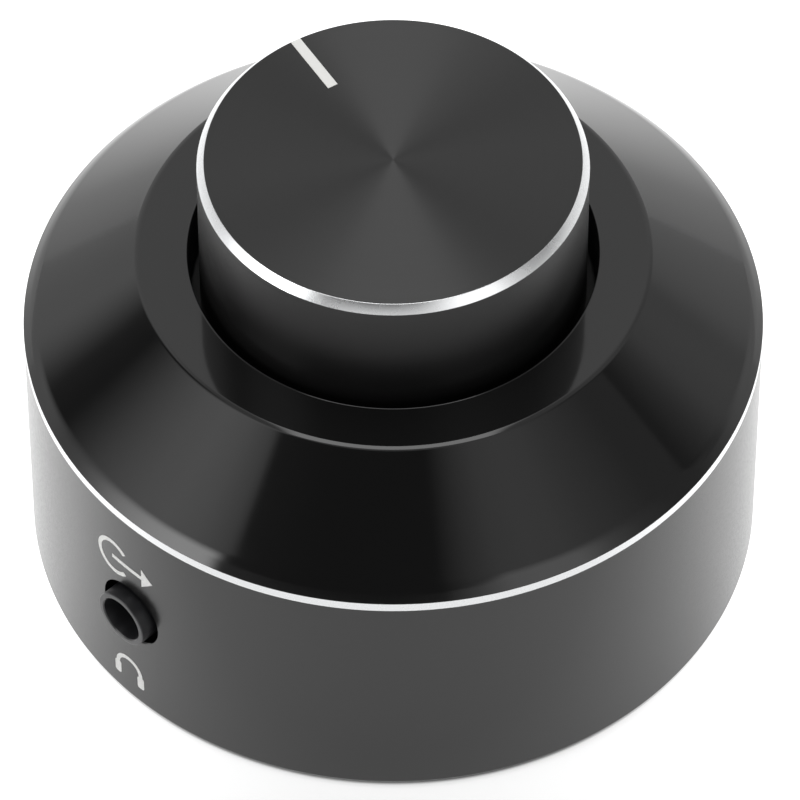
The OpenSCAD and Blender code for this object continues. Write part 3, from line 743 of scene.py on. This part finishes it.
def step_shoulders(piece):
    """Cuts a step in both top edges, at the back."""
    for side in (-1, 1):
        middle = side * JACK_HALF
        carve(piece, block((JACK_BACK - PAST, middle - SHOULDER_CUT, JACK_HEAD - 2 * SHOULDER_CUT),
                           (JACK_BACK + SHOULDER_LEN, middle + SHOULDER_CUT, JACK_HEAD + PAST)))


def jack(name, azimuth, node):
    piece = jack_body(name)
    bore_plug_way(piece)
    open_leaf_rooms(piece)
    step_shoulders(piece)
    piece.data.transform(Matrix.Rotation(math.radians(azimuth), 4, "Z"))
    complete(piece, "case", "jack_plastic", node)


def dress(material, *names):
    """Gives CAD nodes that stay their material."""
    for name in names:
        mesh = nodes[name].data
        mesh.materials.clear()
        mesh.materials.append(material)


NYLON = jack_plastic()
BRONZE = phosphor_bronze()
jack("output_socket", OUT_AZIMUTH, "out_jack_body")
jack("input_socket", IN_AZIMUTH, "in_jack_body")
for leaf in ("tip", "ring", "sleeve"):
    dress(BRONZE, f"out_jack_{leaf}_spring", f"in_jack_{leaf}_spring")


# Circuit board
# Round glass-epoxy board pressed over the pins of the jacks and the potentiometer, with notches
# for the case's lugs. Each pin is soldered on its underside.
BOARD_FOOT = 7.9
SOLDER_R = 0.95
SOLDER_TIP_R = 0.62
SOLDER_H = 0.6
SOLDER_EDGE = 0.12
SOLDER_SUNK = 0.01
JACK_PINS = [(17.9, 3), (26.1, -3), (24.3, 3)]    # along and across each jack
POT_PIN_ROWS = (14.3, 11.8)
POT_PIN_PITCH = 5


def green_board():
    # Green solder resist over glass cloth: half gloss, the weave just showing as a fine check.
    material, tree, shader = new_material("green_solder_resist", "#1f5a3a", 0.3)
    along = cloud(tree, 0.4, (20, 1, 1), 1.0)
    across = cloud(tree, 0.4, (1, 20, 1), 1.0)
    weave = add_node(tree, "ShaderNodeMath", {0: along, 1: across}, operation="ADD")
    weave = add_node(tree, "ShaderNodeMath", {0: weave.outputs[0], 1: 0.5}, operation="MULTIPLY")
    vary_colour(tree, shader, weave.outputs[0], "#1a4e32", "#246340")
    add_relief(tree, shader, weave.outputs[0], 0.01)
    return material


def tin_solder():
    # Lead-free solder: silvery, smooth where it wetted, slightly frosted.
    material, tree, shader = new_material("tin_solder", "#c9cacb", 0.25, 1.0)
    vary_roughness(tree, shader, cloud(tree, 0.5), 0.15, 0.4)
    return material


def solder_joints():
    bm = bmesh.new()
    spots = [(x, y, azimuth) for azimuth in (OUT_AZIMUTH, IN_AZIMUTH) for x, y in JACK_PINS]
    spots += [(x, k * POT_PIN_PITCH, 0) for x in POT_PIN_ROWS for k in (-1, 0, 1)]
    for x, y, azimuth in spots:
        turn = Matrix.Rotation(math.radians(azimuth), 4, "Z")
        place = turn @ Matrix.Translation((x, y, BOARD_FOOT - SOLDER_H / 2 + SOLDER_SUNK))
        bmesh.ops.create_cone(bm, cap_ends=True, segments=24, radius1=SOLDER_TIP_R, radius2=SOLDER_R,
                              depth=SOLDER_H, matrix=place)
    rims = [edge for edge in bm.edges if edge.calc_face_angle() > math.radians(45)]
    bmesh.ops.bevel(bm, geom=rims, offset=SOLDER_EDGE, segments=3, profile=0.5, affect="EDGES",
                    material=-1)
    complete(as_object(bm, "solder_joints", [tin_solder()]), "case", "terminal_silver", crease=50)


dress(green_board(), "circuit_board")
solder_joints()


# Potentiometer
# Dual-gang rotary potentiometer of the 16 mm kind: die-cast front plate and bush, two moulded
# chambers between laminate wafers, all held by a plated steel clamp; nut and washer in the well.
def die_cast_zinc():
    # Zinc as it leaves the die, barrelled: dull grey metal with a soft grain.
    material, tree, shader = new_material("die_cast_zinc", "#9a9d9f", 0.45, 1.0)
    vary_roughness(tree, shader, cloud(tree, 0.6), 0.36, 0.54)
    add_relief(tree, shader, cloud(tree, 0.25), 0.008)
    return material


def zinc_plated_steel():
    # Bright zinc with a clear passivate: cool grey, a faint bluish and yellowish bloom.
    material, tree, shader = new_material("zinc_plated_steel", "#c4c7ca", 0.28, 1.0)
    vary_colour(tree, shader, cloud(tree, 2.5), "#bcc2ca", "#ccc9bd")
    vary_roughness(tree, shader, cloud(tree, 0.7), 0.22, 0.36)
    return material


def phenolic_moulding():
    # Black thermoset with mineral filler: dull, faintly flecked.
    material, tree, shader = new_material("phenolic_moulding", "#1b1a19", 0.5)
    vary_colour(tree, shader, cloud(tree, 0.3, detail=5.0), "#141312", "#24221f")
    add_relief(tree, shader, cloud(tree, 0.2), 0.004)
    return material


def phenolic_paper():
    # Resin-bound paper punched to shape: brown, with the paper's fibres.
    material, tree, shader = new_material("phenolic_paper", "#7a4a24", 0.4)
    vary_colour(tree, shader, cloud(tree, 0.25, (6, 1, 1), 5.0), "#6b3f1d", "#8a5730")
    return material


def silver_plate():
    # Silver-plated brass terminals: bright white metal, patches going yellow with tarnish.
    material, tree, shader = new_material("silver_plate", "#dddcd6", 0.22, 1.0)
    vary_colour(tree, shader, cloud(tree, 1.8), "#d3cdb8", "#e2e2df")
    vary_roughness(tree, shader, cloud(tree, 0.6), 0.16, 0.3)
    return material


def turned_steel():
    # Free-cutting steel straight from the lathe: fine rings round the shaft.
    material, tree, shader = new_material("turned_steel", "#b9bbbd", 0.24, 1.0)
    rings = cloud(tree, 0.12, (200, 200, 1), 2.0)
    vary_roughness(tree, shader, rings, 0.18, 0.34)
    add_relief(tree, shader, rings, 0.002)
    return material


def natural_nylon():
    # Unfilled nylon: milky ivory, light sinks in a little.
    material, tree, shader = new_material("natural_nylon", "#e2dac2", 0.42)
    shader.inputs["Subsurface Weight"].default_value = 0.2
    shader.inputs["Subsurface Scale"].default_value = 0.6 * MM
    vary_colour(tree, shader, cloud(tree, 3), "#dbd2b8", "#e8e1cc")
    return material


PLATED = zinc_plated_steel()
dress(die_cast_zinc(), "pot_bushing")
dress(PLATED, "pot_clamp", "pot_nut", "lock_washer", "shaft_clip")
dress(phenolic_moulding(), "pot_chambers")
dress(phenolic_paper(), "pot_upper_wafer", "pot_lower_wafer")
dress(silver_plate(), "pot_upper_terminals", "pot_lower_terminals")
dress(turned_steel(), "pot_shaft")
dress(natural_nylon(), "pot_rotors")
dress(BRONZE, "pot_wipers")


# Base plate
# Aluminium disc that closes the case, black anodised, set 1 mm up in its foot on a ledge. It is
# countersunk for four screws and has four shallow round seats for the feet.
plate_low, plate_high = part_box("bottom_cover")
PLATE_R = plate_high.x / MM
PLATE_FOOT = plate_low.z / MM
PLATE_TOP = plate_high.z / MM
PLATE_EDGE = 0.25
PLATE_TOP_EDGE = 0.05
PLATE_HOLE_R = 1.7
SINK_R = 2.9
FOOT_SEAT_R = 4.6
FOOT_SEAT_DEPTH = 0.3
FOOT_AT = 20.5


def faced_black_anodise():
    # Faced on the lathe and anodised: fine concentric marks under a satin black.
    material, tree, shader = new_material("faced_black_anodise", "#151516", 0.3)
    place = add_node(tree, "ShaderNodeTexCoord").outputs["Object"]
    out = add_node(tree, "ShaderNodeVectorMath", {0: place}, operation="LENGTH").outputs["Value"]
    marks = add_node(tree, "ShaderNodeTexNoise", {"W": out, "Scale": 1 / (0.3 * MM), "Detail": 1.0},
                     noise_dimensions="1D").outputs[0]
    vary_roughness(tree, shader, marks, 0.24, 0.38)
    add_relief(tree, shader, marks, 0.0015)
    return material


def base_plate():
    bm = turn_outline([(0, PLATE_FOOT), (PLATE_R, PLATE_FOOT, PLATE_EDGE),
                       (PLATE_R, PLATE_TOP, PLATE_TOP_EDGE), (0, PLATE_TOP)], closed=False)
    piece = as_object(bm, "base_plate", [faced_black_anodise()])
    sink_end = PLATE_FOOT + SINK_R - PLATE_HOLE_R
    hole = turn_outline([(0, PLATE_FOOT - PAST), (SINK_R + PAST, PLATE_FOOT - PAST),
                         (PLATE_HOLE_R, sink_end), (PLATE_HOLE_R, PLATE_TOP + PAST),
                         (0, PLATE_TOP + PAST)], closed=False, steps=48)
    carve(piece, four_times(moved(hole, LUG_AT, 0, 0)))
    seat = rod(FOOT_SEAT_R, PLATE_FOOT - PAST, PLATE_FOOT + FOOT_SEAT_DEPTH, (FOOT_AT, 0), 64)
    carve(piece, turned_to(four_times(seat), 45))
    complete(piece, "case", "cover_anodised", "bottom_cover")


base_plate()


# Screws
# Four M3 countersunk socket screws, zinc plated, through the base plate into the case's lugs.
# The thread stands as rings, without a helix, because the lugs hide it.
SCREW_HEAD_Z = 1.9
SCREW_HEAD_R = 2.8
SCREW_HEAD_LAND = 0.12
SCREW_HEAD_EDGE = 0.05
SCREW_R = 1.5
SCREW_TIP = 9.9
THREAD_FROM = 4.4
THREAD_PITCH = 0.5
THREAD_DEPTH = 0.27
THREAD_ROOT = (0.4, 0.6)    # parts of the pitch between which the root lies
SOCKET_R = 1.15
SOCKET_DEPTH = 1.2


def screws():
    outline = [(0, SCREW_HEAD_Z),
               (SCREW_HEAD_R - SCREW_HEAD_LAND, SCREW_HEAD_Z, SCREW_HEAD_EDGE),
               (SCREW_HEAD_R, SCREW_HEAD_Z + SCREW_HEAD_LAND),
               (SCREW_R, SCREW_HEAD_Z + SCREW_HEAD_R - SCREW_R)]
    root = SCREW_R - THREAD_DEPTH
    turns = int((SCREW_TIP - THREAD_FROM) / THREAD_PITCH)
    for turn in range(turns):
        low = THREAD_FROM + turn * THREAD_PITCH
        outline += [(SCREW_R, low), (root, low + THREAD_PITCH * THREAD_ROOT[0]),
                    (root, low + THREAD_PITCH * THREAD_ROOT[1])]
    outline += [(root, SCREW_TIP), (0, SCREW_TIP)]
    bm = four_times(moved(turn_outline(outline, closed=False, steps=36), LUG_AT, 0, 0))
    piece = as_object(bm, "countersunk_screws", [PLATED])
    key = rod(SOCKET_R, SCREW_HEAD_Z - PAST, SCREW_HEAD_Z + SOCKET_DEPTH, (LUG_AT, 0), 6)
    carve(piece, four_times(key))
    complete(piece, "case", "plated_steel", "cover_screws")


screws()


# Feet
# Four feet moulded of black rubber and stuck in the base plate's seats. They are slightly
# dished underneath, so that each stands on a flat ring.
FOOT_OUTLINE = [    # radius, height and rounding of each corner
    (0, 2.1), (4.5, 2.1, 0.05), (4.5, 1.5, 0.1), (4.2, 0.3, 0.2), (3.9, 0, 0.1), (1.6, 0, 0.1),
    (1.2, 0.2, 0.05), (0, 0.2)]


def soft_rubber():
    # Matt black rubber with the fine texture of its mould and a trace of dust.
    material, tree, shader = new_material("matt_black_rubber", "#1a1a1a", 0.8)
    vary_colour(tree, shader, cloud(tree, 1.5), "#161616", "#222221")
    add_relief(tree, shader, cloud(tree, 0.15), 0.01)
    return material


def feet():
    foot = moved(turn_outline(FOOT_OUTLINE, closed=False, steps=64), FOOT_AT, 0, 0)
    piece = as_object(turned_to(four_times(foot), 45), "stuck_on_feet", [soft_rubber()])
    complete(piece, "case", "foot_rubber", "rubber_feet")


feet()


# Knob
# Turned aluminium cup, dark anodised. Its face is spun, so it shows soft radial sectors of
# light, and its rim has a chamfer cut bright. A moulded core glued inside grips the shaft.
knob_low, knob_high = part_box("knob_shell")
KNOB_R = knob_high.x / MM
KNOB_FOOT = knob_low.z / MM
KNOB_TOP = knob_high.z / MM
RIM_W = 0.6
RIM_H = 0.75
RIM_EDGE = 0.03
RIM_BEGINS = 0.001      # depth under the face
RIM, SIDE = 1, 2        # places in the list of finishes
KNOB_EDGE = 0.3
KNOB_WALL = 2.0
KNOB_INSIDE = 43.2
CUP_EDGE = 0.2
MARK_AZIMUTH = 121.5
MARK_WIDTH = 1.0
MARK_START = 9.8
MARK_DEPTH = 0.25
MARK_PLAY = 0.03


def spun_anodise(name, colour, roughness, marked, anisotropy):
    # Fine concentric tool marks under a dark oxide: light spreads across the marks, not along
    # them. Real marks are about 0.05 mm apart; these are coarser, so that some of them show.
    material, tree, shader = new_material(name, colour, roughness)
    place = add_node(tree, "ShaderNodeSeparateXYZ", {
        "Vector": add_node(tree, "ShaderNodeTexCoord").outputs["Object"]})
    flat = add_node(tree, "ShaderNodeCombineXYZ", {"X": place.outputs["X"], "Y": place.outputs["Y"]})
    out = add_node(tree, "ShaderNodeVectorMath", {0: flat.outputs[0]}, operation="LENGTH")
    along = add_node(tree, "ShaderNodeMath", {0: out.outputs["Value"], 1: place.outputs["Z"]},
                     operation="ADD")
    marks = add_node(tree, "ShaderNodeTexNoise", {
        "W": along.outputs[0], "Scale": 1 / (0.25 * MM), "Detail": 2.0},
        noise_dimensions="1D").outputs[0]
    vary_roughness(tree, shader, marks, roughness - marked, roughness + marked)
    around = add_node(tree, "ShaderNodeTangent", direction_type="RADIAL", axis="Z")
    tree.links.new(around.outputs[0], shader.inputs["Tangent"])
    shader.inputs["Anisotropic"].default_value = anisotropy
    shader.inputs["Anisotropic Rotation"].default_value = 0.25
    return material


def white_enamel():
    # Enamel wiped into the groove and ground flush: plain white, a little dull.
    material, tree, shader = new_material("white_enamel", "#dadad7", 0.42)
    vary_roughness(tree, shader, cloud(tree, 0.6), 0.36, 0.5)
    add_relief(tree, shader, cloud(tree, 0.25), 0.003)
    return material


def moulded_abs():
    # ABS from a spark-eroded mould: black, evenly matt.
    material, tree, shader = new_material("moulded_black_abs", "#1d1d1e", 0.55)
    vary_roughness(tree, shader, cloud(tree, 2), 0.5, 0.62)
    add_relief(tree, shader, cloud(tree, 0.15), 0.006)
    return material


def knob_outline(hollow):
    """The knob's outline from axis to axis, as a hollow cup or solid."""
    outside = [(0, KNOB_TOP), (KNOB_R - RIM_W, KNOB_TOP, RIM_EDGE),
               (KNOB_R, KNOB_TOP - RIM_H, RIM_EDGE), (KNOB_R, KNOB_FOOT, KNOB_EDGE)]
    if not hollow:
        return outside + [(0, KNOB_FOOT)]
    bore = KNOB_R - KNOB_WALL
    return outside + [(bore, KNOB_FOOT, CUP_EDGE), (bore, KNOB_INSIDE, CUP_EDGE),
                      (0, KNOB_INSIDE)]


def mark_block(play):
    """The straight block that cuts the index groove or, with some play, bounds its filling."""
    half = MARK_WIDTH / 2 - play
    bm = block((MARK_START + play, -half, KNOB_TOP - MARK_DEPTH),
               (KNOB_R + PAST, half, KNOB_TOP + PAST))
    return turned_to(bm, MARK_AZIMUTH)


def knob():
    bm = turn_outline(knob_outline(hollow=True), closed=False)
    for face in bm.faces:
        height = face.calc_center_median().z
        if height < KNOB_TOP - RIM_BEGINS:
            face.material_index = SIDE if height < KNOB_TOP - RIM_H else RIM
    face_finish = spun_anodise("spun_anodise", "#111111", 0.38, 0.02, 0.95)
    # The side is a copy of the face's finish: its darker colour is painted shade, and its lower
    # roughness and finer marks are its turned finish.
    side_finish_and_shade = spun_anodise("turned_anodise_and_shade", "#0c0c0c", 0.26, 0.008, 0.6)
    piece = as_object(bm, "knob_turning", [face_finish, BRIGHT, side_finish_and_shade])
    carve(piece, mark_block(play=0))
    complete(piece, "knob", "knob_anodised", "knob_shell", crease=20)


def index_filling():
    bm = turn_outline(knob_outline(hollow=False), closed=False)
    piece = as_object(bm, "index_filling", [white_enamel()])
    carve(piece, mark_block(MARK_PLAY), "INTERSECT")
    complete(piece, "knob", "mark_paint", "index_mark", crease=20)


knob()
index_filling()
dress(moulded_abs(), "knob_insert")
